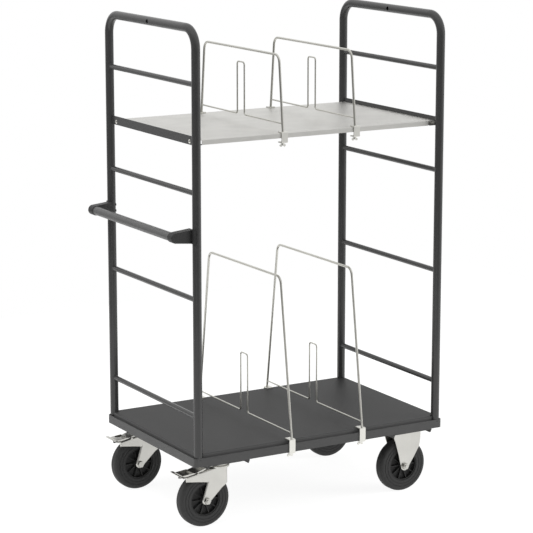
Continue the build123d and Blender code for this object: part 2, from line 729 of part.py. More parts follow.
# Caster bolts: head below the plate, nut on top of the cross member
with BuildPart() as caster_bolts:
    for place, plate_x, row in casters:
        with BuildSketch(level(plate_bottom, plate_x, row * caster_y)):
            with GridLocations(plate_bolt_l, plate_bolt_w, 2, 2):
                hexagon(bolt_af)
        extrude(amount=-bolt_head_h)
        with BuildSketch(level(plate_bottom, plate_x, row * caster_y)):
            with GridLocations(plate_bolt_l, plate_bolt_w, 2, 2):
                Circle(bolt_r)
        extrude(amount=plate_t + cross_t + bolt_nut_h)
        with BuildSketch(level(base_bottom, plate_x, row * caster_y)):
            with GridLocations(plate_bolt_l, plate_bolt_w, 2, 2):
                hexagon(bolt_af)
        extrude(amount=bolt_nut_h)
save(caster_bolts, "caster_bolts")

# Wire dividers: a hoop, a thinner finger wire welded between its legs and two clamps with
# wing screws. A clamp's seat is the sheet or rim that its upper jaw lies on.
dividers = [(f"upper_{n + 1}", x, "upper") for n, x in enumerate(upper_dividers_x)]
dividers += [(f"lower_{n + 1}", x, "lower") for n, x in enumerate(lower_dividers_x)]
for name, offset_x, tier in dividers:
    wire_x = mid_x + offset_x
    if tier == "upper":
        seat_z, edge_y, grip_z = shelf_top, shelf_w / 2, shelf_top - shelf_t
        jaw_z = shelf_top - upper_clamp_below
        depth, foot_inset, screw_inset = upper_clamp_depth, upper_foot_inset, upper_screw_inset
        corner_y, top_z, bend_r = edge_y - upper_corner_inset, seat_z + upper_divider_rise, upper_bend_r
        finger_low, finger_top = seat_z + upper_finger_low_rise, seat_z + upper_finger_top_rise
    else:
        seat_z, edge_y, grip_z = deck_top, base_w / 2, ledge_bottom
        jaw_z = base_bottom - lower_clamp_below
        depth, foot_inset, screw_inset = lower_clamp_depth, lower_foot_inset, lower_screw_inset
        corner_y, top_z, bend_r = edge_y - lower_corner_inset, seat_z + lower_divider_rise, lower_bend_r
        finger_low, finger_top = seat_z + lower_finger_low_rise, seat_z + lower_finger_top_rise
    strap_in = edge_y + run_gap
    strap_out = strap_in + clamp_t
    lip_top = seat_z + run_gap + clamp_t
    foot_y = edge_y - foot_inset
    screw_y = edge_y - screw_inset

    with BuildPart() as divider_hoop:
        lean = (foot_y - corner_y) / (top_z - lip_top)
        low_y, low_z = foot_y + lean * overrun, lip_top - overrun
        with BuildLine(end(wire_x)) as hoop_wire:
            FilletPolyline(
                (-low_y, low_z), (-corner_y, top_z), (corner_y, top_z), (low_y, low_z), radius=bend_r,
            )
        with BuildSketch(Plane(origin=hoop_wire.line @ 0, z_dir=hoop_wire.line % 0)):
            Circle(wire_d / 2)
        sweep(path=hoop_wire.line)
        split(bisect_by=level(lip_top), keep=Keep.TOP)
    save(divider_hoop, f"{name}_hoop")

    with BuildPart() as finger:
        leg_y = foot_y - lean * (finger_low - lip_top)
        with BuildLine(end(wire_x)) as finger_wire:
            FilletPolyline(
                (-leg_y, finger_low), (-finger_half_w, finger_low), (-finger_half_w, finger_top),
                (finger_half_w, finger_top), (finger_half_w, finger_low), (leg_y, finger_low),
                radius=finger_bend_r,
            )
        with BuildSketch(Plane(origin=finger_wire.line @ 0, z_dir=finger_wire.line % 0)):
            Circle(finger_d / 2)
        sweep(path=finger_wire.line)
        add(divider_hoop.part, mode=Mode.SUBTRACT)
    save(finger, f"{name}_finger")

    with BuildPart() as clamps:
        with BuildSketch(end(wire_x)):
            for way in (-1, 1):
                with BuildLine():
                    FilletPolyline(
                        (way * (strap_out - depth), lip_top), (way * strap_out, lip_top),
                        (way * strap_out, jaw_z - clamp_t), (way * (strap_out - depth), jaw_z - clamp_t),
                        radius=clamp_bend_r,
                    )
                    Polyline(
                        (way * (strap_out - depth), jaw_z - clamp_t), (way * (strap_out - depth), jaw_z),
                        (way * strap_in, jaw_z), (way * strap_in, lip_top - clamp_t),
                        (way * (strap_out - depth), lip_top - clamp_t), (way * (strap_out - depth), lip_top),
                    )
                make_face()
        extrude(amount=clamp_w / 2, both=True)
        with BuildSketch(level(jaw_z, wire_x)):
            with Locations((0, -screw_y), (0, screw_y)):
                Circle(wing_screw_r + turn_fit)
        extrude(amount=-(clamp_t + overrun), mode=Mode.SUBTRACT)
    save(clamps, f"{name}_clamps")

    for end_name, way in (("front", -1), ("rear", 1)):
        with BuildPart() as wing_screw:
            wing_z = jaw_z - clamp_t - wing_gap
            with BuildSketch(level(wing_z, wire_x, way * screw_y)):
                Circle(wing_screw_r)
            extrude(amount=grip_z - run_gap - wing_z)
            with BuildSketch(level(wing_z, wire_x, way * screw_y)):
                Circle(wing_hub_r)
            extrude(amount=-wing_hub_h)
            with BuildSketch(front(way * screw_y, wire_x, wing_z)):
                for lobe_way in (-1, 1):
                    lobe_x = lobe_way * (wing_span / 2 - wing_lobe_r)
                    with Locations((lobe_x, wing_lobe_r - wing_h)):
                        Circle(wing_lobe_r)
                    Polygon(
                        (0, 0), (0, -wing_hub_h), (lobe_x, -wing_h),
                        (lobe_way * wing_span / 2, wing_lobe_r - wing_h), align=None,
                    )
            extrude(amount=wing_t / 2, both=True)
        save(wing_screw, f"{name}_{end_name}_screw")
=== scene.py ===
"""Cardboard box trolley: finishes, welds and small trim over the solid model, and its studio."""

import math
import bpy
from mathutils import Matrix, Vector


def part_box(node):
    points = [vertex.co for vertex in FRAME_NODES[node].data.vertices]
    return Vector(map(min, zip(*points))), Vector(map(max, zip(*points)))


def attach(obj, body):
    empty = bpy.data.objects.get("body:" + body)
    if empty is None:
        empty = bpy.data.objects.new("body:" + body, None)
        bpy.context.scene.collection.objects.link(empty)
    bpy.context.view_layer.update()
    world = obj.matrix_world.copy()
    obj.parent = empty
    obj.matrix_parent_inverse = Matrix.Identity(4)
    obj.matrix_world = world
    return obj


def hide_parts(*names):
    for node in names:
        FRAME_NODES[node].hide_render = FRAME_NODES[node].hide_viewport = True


bl_info = {
    "name": "Cardboard box trolley",
    "version": (1, 0, 0),
    "blender": (4, 5, 0),
    "location": "View3D > Sidebar > Trolley",
    "description": "Finishes the trolley's frame, casters, shelf and dividers and lights them",
    "category": "Object",
}

import bmesh
import bpy
from bpy.props import FloatProperty, FloatVectorProperty, IntProperty, PointerProperty
from mathutils import Vector

MM = 0.001

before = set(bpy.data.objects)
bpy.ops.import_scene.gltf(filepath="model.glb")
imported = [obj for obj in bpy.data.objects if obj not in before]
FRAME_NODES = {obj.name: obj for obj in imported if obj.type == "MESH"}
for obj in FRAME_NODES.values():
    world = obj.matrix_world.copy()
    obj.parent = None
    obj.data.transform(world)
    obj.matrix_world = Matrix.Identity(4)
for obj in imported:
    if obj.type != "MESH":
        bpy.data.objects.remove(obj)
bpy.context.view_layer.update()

# ---- Fixed numbers, in metres, radians or shares ----------------------------------------------

ACROSS = Vector((0, 1, 0))  # the way that rungs, finger wires and the handle tube run
UPWARDS = Vector((0, 0, 1))

# Faces that meet at more than this keep a sharp edge, on CAD nodes and on the pieces built here
CAD_CREASE = math.radians(32)
PIECE_CREASE = math.radians(40)

BEAD_SIDES = 8
BEAD_SWELL = 0.12  # share of a bead's radius by which it swells and narrows, as real welds do
BEAD_WAVE = 5.0  # phase of that swell from one point of the bead to the next
# Bead radius and points of the dark rings put as painted shadow where the handle tube enters its
# arms
SHADOW_RING_BEAD = 1.3 * MM
SHADOW_RING_STEPS = 40

# A button head's round, as shares of its height and radius, and how deep its socket goes
HEAD_ROUND = ((0.0, 1.0), (0.3, 1.0), (0.8, 0.8), (1.0, 0.62))
SOCKET_DEPTH = 0.6
SCREW_STEPS = 24
SIXTH_TURN = math.pi / 3
SAME_POINT = 1e-6  # points nearer than this become one

WAVE_PITCH = math.pi / 10  # distance between a wave texture's bands at a scale of one
ROLLED_LONG = 0.04  # rolling draws the grain of the shelf sheet out to 25 times its width
VENEER_LONG = 0.35  # the clouds of the deck board are about three times as long as wide

FLOOR_WIDTH = 5.0
FLOOR_GLOW = 0.9  # strength of the floor's own white where the camera or gloss sees it
SHADOW_SHARE = 0.3  # share of the floor's real shading that is added to that white
DOME_DIM_AT, DOME_BRIGHT_AT = -0.6, 0.5  # cosines between which the dome goes dim to bright
LAMP_TARGET = Vector((0.0, 0.0, 0.75))
# Each square lamp's name, place, width in metres and watts
LAMPS = (
    ("overhead_softbox", (-1.6, -0.6, 4.2), 3.2, 90.0),
    ("right_strip", (3.5, -2.0, 1.7), 1.6, 74.0),
    ("left_fill", (-4.2, 0.4, 1.6), 2.6, 30.0),
)
SENSOR_WIDTH = 36.0  # millimetres
VIEW_REACH = 100.0


# ---- Sizes and colours that a user would change -----------------------------------------------


def linear(hex_colour):
    """An sRGB hex colour as the linear red, green and blue that a shader takes."""
    parts = [int(hex_colour[i:i + 2], 16) / 255 for i in (1, 3, 5)]
    return tuple(c / 12.92 if c <= 0.04045 else ((c + 0.055) / 1.055) ** 2.4 for c in parts)


def colour_prop(name, description, hex_colour):
    """A colour setting with an sRGB hex default."""
    return FloatVectorProperty(
        name=name, description=description, subtype="COLOR", size=3, min=0.0, max=1.0,
        default=linear(hex_colour),
    )


class TrolleyPaint(bpy.types.PropertyGroup):
    """Powder coats of the steel and the faces of the deck board"""

    frame_colour: colour_prop("Frame coat", "Powder coat of the hoops, rungs and rails", "#3a3a3a")
    handle_colour: colour_prop("Handle coat", "Powder coat of the push handle's tube", "#535353")
    base_colour: colour_prop("Base coat", "Powder coat of the rim and cross members", "#464646")
    peel_size: FloatProperty(
        name="Orange peel", description="Width of the coat's soft ripples", unit="LENGTH",
        default=2.2 * MM, min=0.5 * MM,
    )
    deck_colour: colour_prop("Deck film", "Resin film on the deck board", "#383838")
    # Lighter grey of the board's upright edges: partly sealing paint, partly painted light that
    # lifts the shade the edges fall in
    edge_sealer_and_painted_light: colour_prop("Deck edge", "Sealing paint on the deck board's edges", "#5c5c5c")
    deck_mesh: FloatProperty(
        name="Film mesh", description="Spacing of the mesh pressed into the deck film",
        unit="LENGTH", default=6.0 * MM, min=1.0 * MM,
    )


class TrolleyMetal(bpy.types.PropertyGroup):
    """Zinc plate of the shelf, dividers, casters and fasteners"""

    sheet_colour: colour_prop("Shelf zinc", "Zinc plate on the shelf sheet", "#d7d6d2")
    wire_colour: colour_prop("Wire zinc", "Zinc plate on the divider wires", "#d3d2cb")
    clamp_colour: colour_prop("Clamp zinc", "Zinc plate on the clamps and screws", "#e6e5df")
    fork_colour: colour_prop("Fork zinc", "Zinc plate on the caster pressings", "#cac9c4")
    bolt_colour: colour_prop("Axle zinc", "Zinc plate on the axle bolts and pedal pins", "#c3c2bd")
    black_colour: colour_prop("Black zinc", "Black zinc plate on the handle screws", "#3a3a3a")
    grain: FloatProperty(
        name="Rolling grain", description="Width of the rolling streaks in the shelf sheet",
        unit="LENGTH", default=3.0 * MM, min=0.2 * MM,
    )


class TrolleyMoulding(bpy.types.PropertyGroup):
    """Rubber and plastic of the wheels and the handle arms"""

    tyre_colour: colour_prop("Tyre", "Solid rubber of the tyres", "#323232")
    # The hub colour also darkens the rings put as painted shadow where the handle tube enters its
    # arms
    hub_and_shadow_ring_colour: colour_prop("Hub", "Moulded plastic of the hubs and collars", "#2d2d2d")
    arm_colour: colour_prop("Handle arms", "Moulded plastic of the handle arms", "#292929")


class TrolleyScrews(bpy.types.PropertyGroup):
    """Sizes of the screws that hold the handle arms"""

    head_radius: FloatProperty(
        name="Head radius", description="Radius of the arm screws' heads", unit="LENGTH",
        default=3.8 * MM, min=1.0 * MM,
    )
    shank_radius: FloatProperty(
        name="Shank radius", description="Radius of the arm screws' shanks", unit="LENGTH",
        default=2.5 * MM, min=0.5 * MM,
    )
    proud: FloatProperty(
        name="Head height", description="How far the low heads stand out of the posts",
        unit="LENGTH", default=0.7 * MM, min=0.1 * MM,
    )
    key: FloatProperty(
        name="Key", description="Half the width of the hexagon socket", unit="LENGTH",
        default=1.25 * MM, min=0.2 * MM,
    )


class TrolleyWelds(bpy.types.PropertyGroup):
    """Sizes of the weld beads"""

    bead: FloatProperty(
        name="Weld bead", description="Radius of the weld beads on the frame tubes",
        unit="LENGTH", default=1.3 * MM, min=0.2 * MM,
    )
    wire_bead: FloatProperty(
        name="Wire weld", description="Radius of the weld beads on the divider wires",
        unit="LENGTH", default=0.8 * MM, min=0.2 * MM,
    )
    steps: IntProperty(
        name="Bead points", description="Points round one weld bead", default=28, min=8,
    )


class TrolleyStage(bpy.types.PropertyGroup):
    """Floor, dome light and camera of the studio"""

    backdrop_colour: colour_prop("Floor", "Colour of the studio floor", "#f4f4f3")
    dome: FloatProperty(
        name="Dome light", description="Strength of the light all round", default=0.42, min=0.0,
    )
    dim_side: FloatProperty(
        name="Dim side", description="Brightness that gloss meets on the dim side of the dome",
        subtype="FACTOR", default=0.2, min=0.0, max=1.0,
    )
    bright_way: FloatVectorProperty(
        name="Bright side", description="Direction of the dome's bright side", subtype="XYZ",
        size=3, default=(0.70, 0.35, 0.62),
    )
    focal: FloatProperty(
        name="Focal length", description="Camera focal length for a 36 mm sensor", unit="CAMERA",
        default=148.55, min=10.0,
    )
    camera_spot: FloatVectorProperty(
        name="Camera", description="Camera position", subtype="XYZ", unit="LENGTH", size=3,
        default=(-3.2247, -5.5253, 2.0172),
    )
    camera_tilt: FloatProperty(
        name="Tilt", description="Angle of the camera below the horizon", subtype="ANGLE",
        default=math.radians(11.732),
    )
    camera_turn: FloatProperty(
        name="Turn", description="Turn of the camera about the vertical", subtype="ANGLE",
        default=math.radians(-30.300),
    )


# ---- Material helpers -------------------------------------------------------------------------


def add_node(tree, kind, sockets=None, **settings):
    """Adds one node, sets its properties and fills its sockets with values or other sockets."""
    node = tree.nodes.new(kind)
    for key, value in settings.items():
        setattr(node, key, value)
    for key, value in (sockets or {}).items():
        if isinstance(value, bpy.types.NodeSocket):
            tree.links.new(value, node.inputs[key])
        else:
            node.inputs[key].default_value = value
    return node


def start_material(name):
    """An empty node material with object coordinates in metres."""
    material = bpy.data.materials.new(name)
    material.use_nodes = True
    tree = material.node_tree
    tree.nodes.clear()
    place = add_node(tree, "ShaderNodeTexCoord").outputs["Object"]
    return material, tree, place


def shade(colour, factor):
    """The same colour, lighter or darker, with an alpha of one."""
    return tuple(min(1.0, c * factor) for c in colour) + (1.0,)


def per_metre(size):
    """Texture scale for a feature of this real size, in metres."""
    return 1.0 / max(size, 1e-5)


def clouded(tree, place, colour, *, size, detail, dark, light, fine=0.5, ends=(0.3, 0.7)):
    """Clouds of this real size as a 0 to 1 value, and the colour drifting with them between
    a dark and a light share of itself, which it reaches at the two ends."""
    cloud = add_node(
        tree, "ShaderNodeTexNoise",
        {"Vector": place, "Scale": per_metre(size), "Detail": detail, "Roughness": fine},
    ).outputs["Fac"]
    tone = add_node(tree, "ShaderNodeValToRGB", {"Fac": cloud})
    for stop, end, share in zip(tone.color_ramp.elements, ends, (dark, light)):
        stop.position = end
        stop.color = shade(colour, share)
    return cloud, tone.outputs["Color"]


def close_material(tree, colour, *, sheen, matt, relief, strength, depth, surface):
    """Ends a finish: its colour, its roughness from matt's first to its second value as the
    pattern sheen goes from 0 to 1, and the pattern relief as bumps of a real depth."""
    rough = add_node(
        tree, "ShaderNodeMapRange", {"Value": sheen, "To Min": matt[0], "To Max": matt[1]},
    )
    bump = add_node(
        tree, "ShaderNodeBump", {"Height": relief, "Strength": strength, "Distance": depth},
    )
    shader = add_node(
        tree, "ShaderNodeBsdfPrincipled",
        {"Base Color": colour, "Roughness": rough.outputs["Result"],
         "Normal": bump.outputs["Normal"], **surface},
    )
    add_node(tree, "ShaderNodeOutputMaterial", {"Surface": shader.outputs[0]})


# ---- Finishes ---------------------------------------------------------------------------------


def powder_coat(name, colour, peel, roughness=0.24):
    """Polyester powder coat, sprayed and baked: even dark colour, satin gloss, orange peel."""
    material, tree, place = start_material(name)
    _, tone = clouded(tree, place, colour, size=90 * MM, detail=3.0, dark=0.93, light=1.07)
    ripple = add_node(
        tree, "ShaderNodeTexNoise", {"Vector": place, "Scale": per_metre(peel), "Detail": 2.0},
    ).outputs["Fac"]
    close_material(
        tree, tone, sheen=ripple, matt=(roughness - 0.05, roughness + 0.06),
        relief=ripple, strength=0.16, depth=0.2 * MM, surface={"IOR": 1.5},
    )
    return material


def film_faced_board(name, colour, edge, mesh):
    """Phenolic film pressed on plywood: dark, slightly cloudy along the grain, with a press mesh
    in its faces. Its upright edges take a lighter grey, partly sealing paint and partly painted
    light that lifts the shade on them."""
    material, tree, place = start_material(name)
    drawn = add_node(
        tree, "ShaderNodeMapping", {"Vector": place, "Scale": (VENEER_LONG, 1.0, 1.0)},
    )
    cloud, film = clouded(
        tree, drawn.outputs["Vector"], colour, size=110 * MM, detail=4.0, fine=0.45,
        dark=0.88, light=1.1, ends=(0.36, 0.64),
    )
    # Upright faces take the lighter edge grey: partly sealing paint, partly painted light that
    # lifts the shade on the board's edges
    normal = add_node(tree, "ShaderNodeTexCoord").outputs["Normal"]
    facing = add_node(tree, "ShaderNodeSeparateXYZ", {"Vector": normal})
    flat = add_node(tree, "ShaderNodeMath", {0: facing.outputs["Z"]}, operation="ABSOLUTE")
    board = add_node(
        tree, "ShaderNodeMix", {"Factor": flat.outputs[0], "A": shade(edge, 1.0), "B": film},
        data_type="RGBA",
    )
    # The real mesh is about 2 mm and would blur away, so it is drawn three times as coarse
    weft, warp = (
        add_node(
            tree, "ShaderNodeTexWave",
            {"Vector": place, "Scale": per_metre(mesh) * WAVE_PITCH, "Distortion": 0.6},
            wave_type="BANDS", bands_direction=way,
        ).outputs["Fac"]
        for way in ("X", "Y")
    )
    woven = add_node(tree, "ShaderNodeMath", {0: weft, 1: warp}, operation="MULTIPLY")
    close_material(
        tree, board.outputs["Result"], sheen=cloud, matt=(0.46, 0.56),
        relief=woven.outputs[0], strength=0.12, depth=0.3 * MM,
        surface={"IOR": 1.5, "Specular IOR Level": 0.16},
    )
    return material


def zinc_plate(name, colour, *, grain, roughness, long=1.0):
    """Bright zinc plate on steel: pale warm metal, cloudy from the bath, with the steel's grain
    showing through as fine changes of gloss. A long of less than one draws the grain out."""
    material, tree, place = start_material(name)
    drawn = add_node(tree, "ShaderNodeMapping", {"Vector": place, "Scale": (long, 1.0, 1.0)})
    # Real grain is finer than 1 mm and would blur away, so it is drawn 1.5 to 3 mm wide
    streaks = add_node(
        tree, "ShaderNodeTexNoise",
        {"Vector": drawn.outputs["Vector"], "Scale": per_metre(grain), "Detail": 3.0},
    ).outputs["Fac"]
    _, tone = clouded(tree, place, colour, size=60 * MM, detail=4.0, dark=0.94, light=1.03)
    close_material(
        tree, tone, sheen=streaks, matt=(roughness - 0.07, roughness + 0.08),
        relief=streaks, strength=0.08, depth=0.1 * MM, surface={"Metallic": 1.0},
    )
    return material


def solid_rubber(name, colour):
    """Moulded solid rubber: dark grey, matt, with a faint bloom and fine tooth."""
    material, tree, place = start_material(name)
    bloom, tone = clouded(tree, place, colour, size=30 * MM, detail=4.0, dark=0.85, light=1.15)
    # The real tooth is a few tenths of a millimetre and would blur away, so it is drawn coarser
    tooth = add_node(
        tree, "ShaderNodeTexNoise", {"Vector": place, "Scale": per_metre(1.2 * MM), "Detail": 2.0},
    ).outputs["Fac"]
    close_material(
        tree, tone, sheen=bloom, matt=(0.62, 0.78),
        relief=tooth, strength=0.2, depth=0.2 * MM, surface={"IOR": 1.52},
    )
    return material


def moulded_plastic(name, colour, gloss=0.5):
    """Moulded polyamide or polypropylene: dark, with the fine spark-eroded grain of its mould
    and a low sheen."""
    material, tree, place = start_material(name)
    flow, tone = clouded(tree, place, colour, size=40 * MM, detail=3.0, dark=0.92, light=1.08)
    # The real spark grain is a few tenths of a millimetre and would blur away, so it is coarser
    spark = add_node(tree, "ShaderNodeTexVoronoi", {"Vector": place, "Scale": per_metre(1.4 * MM)})
    close_material(
        tree, tone, sheen=flow, matt=(0.45, 0.58),
        relief=spark.outputs["Distance"], strength=0.14, depth=0.15 * MM,
        surface={"IOR": 1.49, "Specular IOR Level": gloss},
    )
    return material


def dress(material, *names):
    """Gives a finish to CAD nodes and smooths their curved faces without moving a point."""
    for name in names:
        mesh = FRAME_NODES[name].data
        mesh.materials.clear()
        mesh.materials.append(material)
        mesh.shade_smooth()
        mesh.set_sharp_from_angle(angle=CAD_CREASE)


# ---- Mesh helpers -----------------------------------------------------------------------------


def turns(steps):
    """The angles of equal steps round a full turn."""
    return [math.tau * k / steps for k in range(steps)]


def saddle(centre, radius, post_r, lean, way, steps):
    """Points round the mouth of a bar along Y where it meets an upright of radius post_r."""
    points = []
    for turn in turns(steps):
        across, up = radius * math.cos(turn), radius * math.sin(turn)
        depth = math.sqrt(post_r ** 2 - across ** 2)
        points.append(
            Vector((centre.x + across, way * (centre.y - depth - lean * up), centre.z + up))
        )
    return points


def foot(x, y, z, radius, steps):
    """Points round the foot of an upright tube or wire."""
    return [Vector((x + radius * math.cos(a), y + radius * math.sin(a), z)) for a in turns(steps)]


def bar_centres(heights, radius, apart=2.5):
    """The middle heights of a stack of round bars, from the heights of their points. Bars lie
    more than this many radii apart."""
    bars = []
    for z in sorted(heights):
        if bars and z - bars[-1][0] < apart * radius:
            bars[-1].append(z)
        else:
            bars.append([z])
    return [(bar[0] + bar[-1]) / 2 for bar in bars]


def skin(built, rings):
    """Lays faces between each ring of points and the next."""
    for this, after in zip(rings, rings[1:]):
        for k in range(len(this)):
            ahead = (k + 1) % len(this)
            built.faces.new((this[k], this[ahead], after[ahead], after[k]))


def mesh_piece(name, built, material):
    """Ends a bmesh as a smooth object with its finish."""
    bmesh.ops.recalc_face_normals(built, faces=built.faces)
    mesh = bpy.data.meshes.new(name)
    built.to_mesh(mesh)
    built.free()
    mesh.shade_smooth()
    mesh.set_sharp_from_angle(angle=PIECE_CREASE)
    mesh.materials.append(material)
    thing = bpy.data.objects.new(name, mesh)
    bpy.context.scene.collection.objects.link(thing)
    return thing


def closed_bead(name, loops, axis, radius, material):
    """One object of round beads along closed loops of points about an axis, built as a mesh."""
    built = bmesh.new()
    for loop in loops:
        rings = []
        for i, spot in enumerate(loop):
            ahead = (loop[(i + 1) % len(loop)] - loop[i - 1]).normalized()
            out = ahead.cross(axis).normalized()
            side = ahead.cross(out).normalized()
            swell = 1.0 + BEAD_SWELL * math.sin(BEAD_WAVE * i)
            rings.append([
                built.verts.new(spot + (out * math.cos(a) + side * math.sin(a)) * radius * swell)
                for a in turns(BEAD_SIDES)
            ])
        skin(built, rings + rings[:1])
    return mesh_piece(name, built, material)


# ---- Operators: one for each group of pieces --------------------------------------------------


class TROLLEY_OT_end_frames(bpy.types.Operator):
    """Coats the hoops, rungs and shelf rails and lays the weld beads at rungs and posts"""

    bl_idname = "trolley.end_frames"
    bl_label = "End frames"

    def execute(self, context):
        paint = context.scene.trolley_paint
        coat = powder_coat("powder_coat_satin_dark", paint.frame_colour, paint.peel_size)
        for side in ("left", "right"):
            dress(coat, f"{side}_hoop", f"{side}_rungs", f"{side}_shelf_rail")
            self.lay_beads(side, context.scene.trolley_welds, coat)
        return {"FINISHED"}

    def lay_beads(self, side, welds, coat):
        """Beads where the rungs meet the posts and where the posts stand on the base."""
        hoop_low, hoop_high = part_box(f"{side}_hoop")
        rung_low, rung_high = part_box(f"{side}_rungs")
        post_r = (hoop_high.x - hoop_low.x) / 2
        rung_r = (rung_high.x - rung_low.x) / 2
        post_y = hoop_high.y - post_r
        x = (hoop_low.x + hoop_high.x) / 2
        heights = [v.co.z for v in FRAME_NODES[f"{side}_rungs"].data.vertices]
        mouths = [
            saddle(Vector((x, post_y, z)), rung_r, post_r, 0.0, way, welds.steps)
            for z in bar_centres(heights, rung_r) for way in (-1, 1)
        ]
        feet = [foot(x, way * post_y, hoop_low.z, post_r, welds.steps) for way in (-1, 1)]
        for label, loops, axis in (("rung_welds", mouths, ACROSS), ("foot_welds", feet, UPWARDS)):
            bead = closed_bead(f"{side}_{label}", loops, axis, welds.bead, coat)
            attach(bead, "frame")


class TROLLEY_OT_base(bpy.types.Operator):
    """Coats the rim and cross members and faces the deck board"""

    bl_idname = "trolley.base"
    bl_label = "Base and deck"

    def execute(self, context):
        paint = context.scene.trolley_paint
        coat = powder_coat(
            "powder_coat_satin_grey", paint.base_colour, paint.peel_size, roughness=0.46,
        )
        dress(coat, "base_side_rails", "base_end_rails", "cross_members")
        board = film_faced_board(
            "film_faced_plywood", paint.deck_colour, paint.edge_sealer_and_painted_light, paint.deck_mesh,
        )
        dress(board, "deck_board")
        return {"FINISHED"}


class TROLLEY_OT_shelf(bpy.types.Operator):
    """Plates the folded shelf, its screws and the caster bolts"""

    bl_idname = "trolley.shelf"
    bl_label = "Shelf"

    def execute(self, context):
        metal = context.scene.trolley_metal
        sheet = zinc_plate(
            "zinc_plated_sheet_rolled", metal.sheet_colour, grain=metal.grain, roughness=0.46,
            long=ROLLED_LONG,
        )
        dress(sheet, "shelf_panel")
        fastener = zinc_plate(
            "zinc_plated_fasteners", metal.clamp_colour, grain=1.5 * MM, roughness=0.32,
        )
        dress(fastener, "shelf_screws", "caster_bolts")
        return {"FINISHED"}


class TROLLEY_OT_handle(bpy.types.Operator):
    """Finishes the push handle and its arms, drives their screws and lays dark rings as painted
    shadow where the tube enters the arms
    """

    bl_idname = "trolley.handle"
    bl_label = "Push handle"

    def execute(self, context):
        paint = context.scene.trolley_paint
        moulding = context.scene.trolley_moulding
        metal = context.scene.trolley_metal
        coat = powder_coat(
            "powder_coat_handle", paint.handle_colour, paint.peel_size, roughness=0.38,
        )
        dress(coat, "handle_tube")
        dress(moulded_plastic("polyamide_moulded_dark", moulding.arm_colour), "handle_arms")
        black = zinc_plate(
            "black_zinc_fasteners", metal.black_colour, grain=1.5 * MM, roughness=0.45,
        )
        self.drive_screws(context.scene.trolley_screws, black)
        # Dark rings at the tube's mouths are painted shadow for the gap where the tube enters each
        # arm
        self.seat_shadow_rings(moulded_plastic("black_ring_painted_shadow", moulding.hub_and_shadow_ring_colour))
        return {"FINISHED"}

    def drive_screws(self, screws, black):
        """Low button heads with a hexagon socket, each down on the round of its post."""
        low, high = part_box("handle_screws")
        hoop_low, hoop_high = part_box("left_hoop")
        post_r = (hoop_high.x - hoop_low.x) / 2
        side = [v.co.y for v in FRAME_NODES["handle_screws"].data.vertices if v.co.y > 0]
        spot_y, cad_head = (max(side) + min(side)) / 2, (max(side) - min(side)) / 2
        off_middle = hoop_high.y - post_r - spot_y
        seat = hoop_low.x + post_r + math.sqrt(post_r ** 2 - off_middle ** 2)
        socket_floor = seat - SOCKET_DEPTH * screws.proud
        # Half section from the tip to the socket: place along X, reach from the axis, six-sided
        section = (
            (low.x, 0.0, False), (low.x, screws.shank_radius, False),
            (seat, screws.shank_radius, False),
            *((seat + rise * screws.proud, reach * screws.head_radius, False)
              for rise, reach in HEAD_ROUND),
            (seat + screws.proud, screws.key, True), (socket_floor, screws.key, True),
            (socket_floor, 0.0, False),
        )
        built = bmesh.new()
        for way in (-1, 1):
            for z in (low.z + cad_head, high.z - cad_head):
                rings = []
                for x, radius, six_sided in section:
                    ring = []
                    for turn in turns(SCREW_STEPS):
                        reach = radius
                        if six_sided:
                            reach = radius / math.cos(turn % SIXTH_TURN - SIXTH_TURN / 2)
                        ring.append(built.verts.new(
                            (x, way * spot_y + reach * math.cos(turn), z + reach * math.sin(turn))
                        ))
                    rings.append(ring)
                skin(built, rings)
        bmesh.ops.remove_doubles(built, verts=built.verts, dist=SAME_POINT)
        heads = mesh_piece("handle_button_screws", built, black)
        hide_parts("handle_screws")
        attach(heads, "frame")

    def seat_shadow_rings(self, plastic):
        """A thin dark ring round the tube where it enters each arm, put there as painted shadow of
        the gap.
        """
        tube_low, tube_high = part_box("handle_tube")
        tube_r = (tube_high.z - tube_low.z) / 2
        mid = (tube_low + tube_high) / 2
        mouth_y = min(abs(v.co.y) for v in FRAME_NODES["handle_arms"].data.vertices)
        loops = [
            [
                Vector((mid.x + tube_r * math.cos(a), way * mouth_y, mid.z + tube_r * math.sin(a)))
                for a in turns(SHADOW_RING_STEPS)
            ]
            for way in (-1, 1)
        ]
        shadow_rings = closed_bead("handle_shadow_rings", loops, ACROSS, SHADOW_RING_BEAD, plastic)
        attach(shadow_rings, "frame")


class TROLLEY_OT_casters(bpy.types.Operator):
    """Plates the caster pressings and brake pedals and finishes tyres and hubs"""

    bl_idname = "trolley.casters"
    bl_label = "Casters"

    def execute(self, context):
        metal = context.scene.trolley_metal
        moulding = context.scene.trolley_moulding
        pressing = zinc_plate(
            "zinc_plated_pressing", metal.fork_colour, grain=2.0 * MM, roughness=0.3,
        )
        bolt = zinc_plate(
            "zinc_plated_axle_bolt", metal.bolt_colour, grain=1.5 * MM, roughness=0.3,
        )
        rubber = solid_rubber("solid_rubber_moulded", moulding.tyre_colour)
        hub = moulded_plastic("polypropylene_hub_black", moulding.hub_and_shadow_ring_colour, gloss=0.3)
        for place in ("front_left", "rear_left", "front_right", "rear_right"):
            dress(pressing, f"{place}_fork")
            dress(bolt, f"{place}_axle")
            dress(rubber, f"{place}_tyre")
            dress(hub, f"{place}_hub")
            if place.endswith("left"):
                dress(pressing, f"{place}_top_plate", f"{place}_brake_pedal")
                dress(bolt, f"{place}_pedal_pin")
        return {"FINISHED"}


